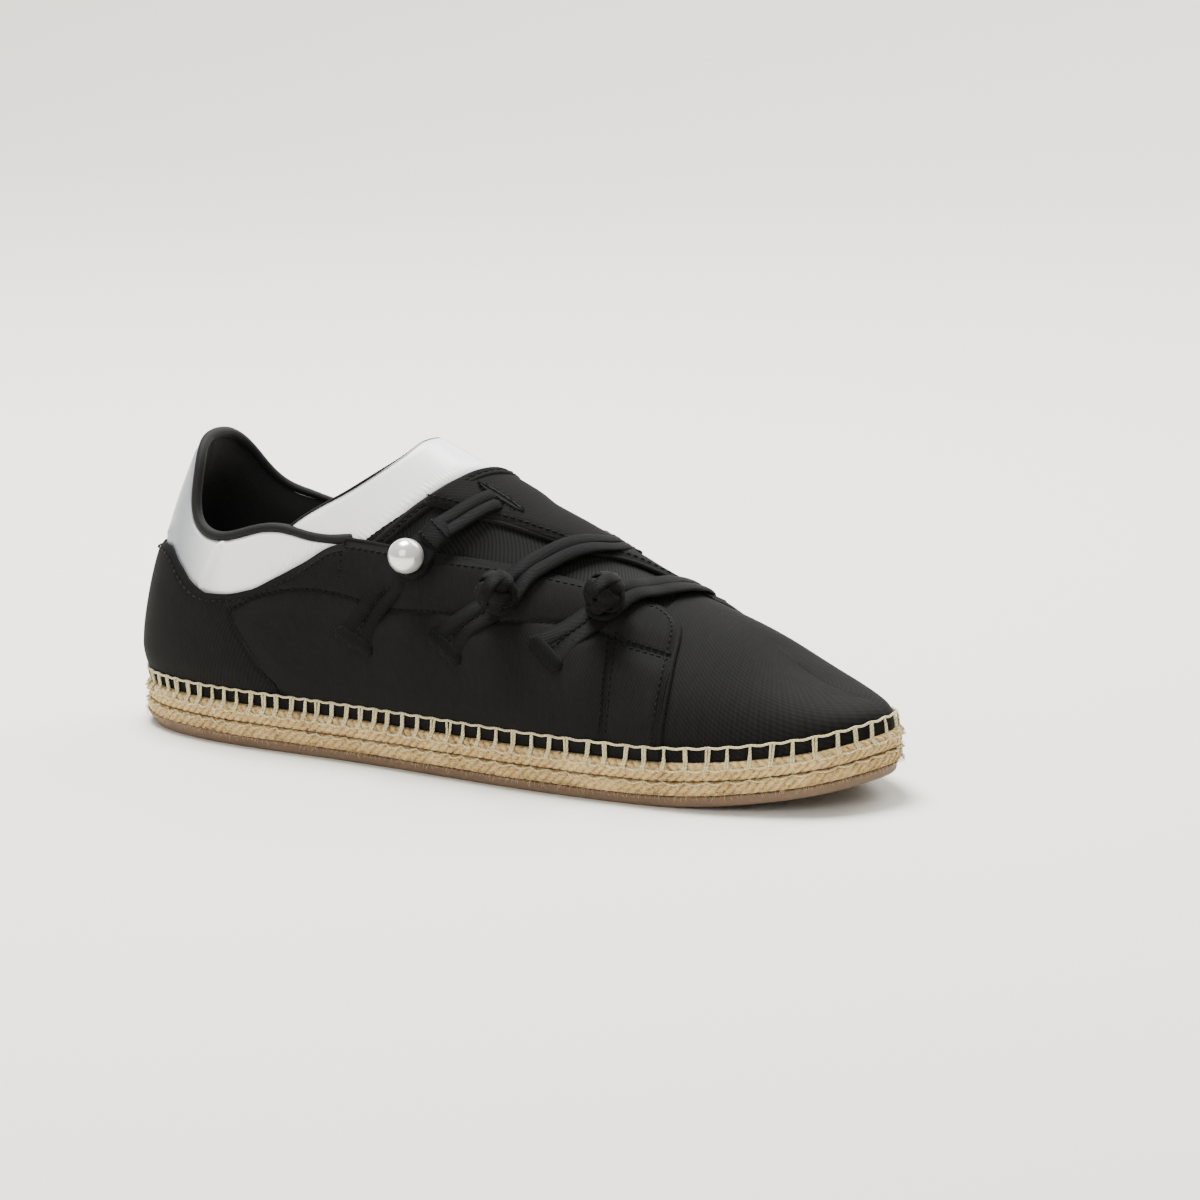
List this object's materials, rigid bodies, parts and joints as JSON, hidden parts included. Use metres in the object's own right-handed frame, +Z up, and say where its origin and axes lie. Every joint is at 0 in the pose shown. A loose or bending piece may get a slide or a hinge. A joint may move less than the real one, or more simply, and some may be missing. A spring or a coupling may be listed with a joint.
{
  "type": "low wrap sneaker with rope sole",
  "caption": "Low right shoe with a stitched rope sole, a crossing flap, a padded collar and frog fastenings.",
  "frame": {"origin": "on the floor under the middle of the sole's box", "axes": "+X from heel to toe, +Y to the inner (medial) side, +Z up"},
  "size_m": [0.2939, 0.098, 0.1109],
  "materials": {
    "rubber": "matt brown crepe-like rubber",
    "rope": "braided jute, dry and fibrous",
    "lining": "smooth black lining",
    "cloth": "fine black weave, white satin collar",
    "ribbed_cloth": "black ribbed cloth",
    "braid": "black satin tube, sewn flat",
    "pearl": "white pearl"
  },
  "bodies": {
    "root": {"outsole": "rubber", "rope_lower": "rope", "rope_upper": "rope", "insole": "lining", "upper": "cloth", "tongue": "ribbed_cloth", "strap_1": "braid", "strap_2": "braid", "strap_3": "braid", "tab_1": "braid", "tab_2": "braid", "tab_3": "braid", "pearl": "pearl", "knot_2": "braid", "knot_3": "braid"}
  },
  "joints": []
}
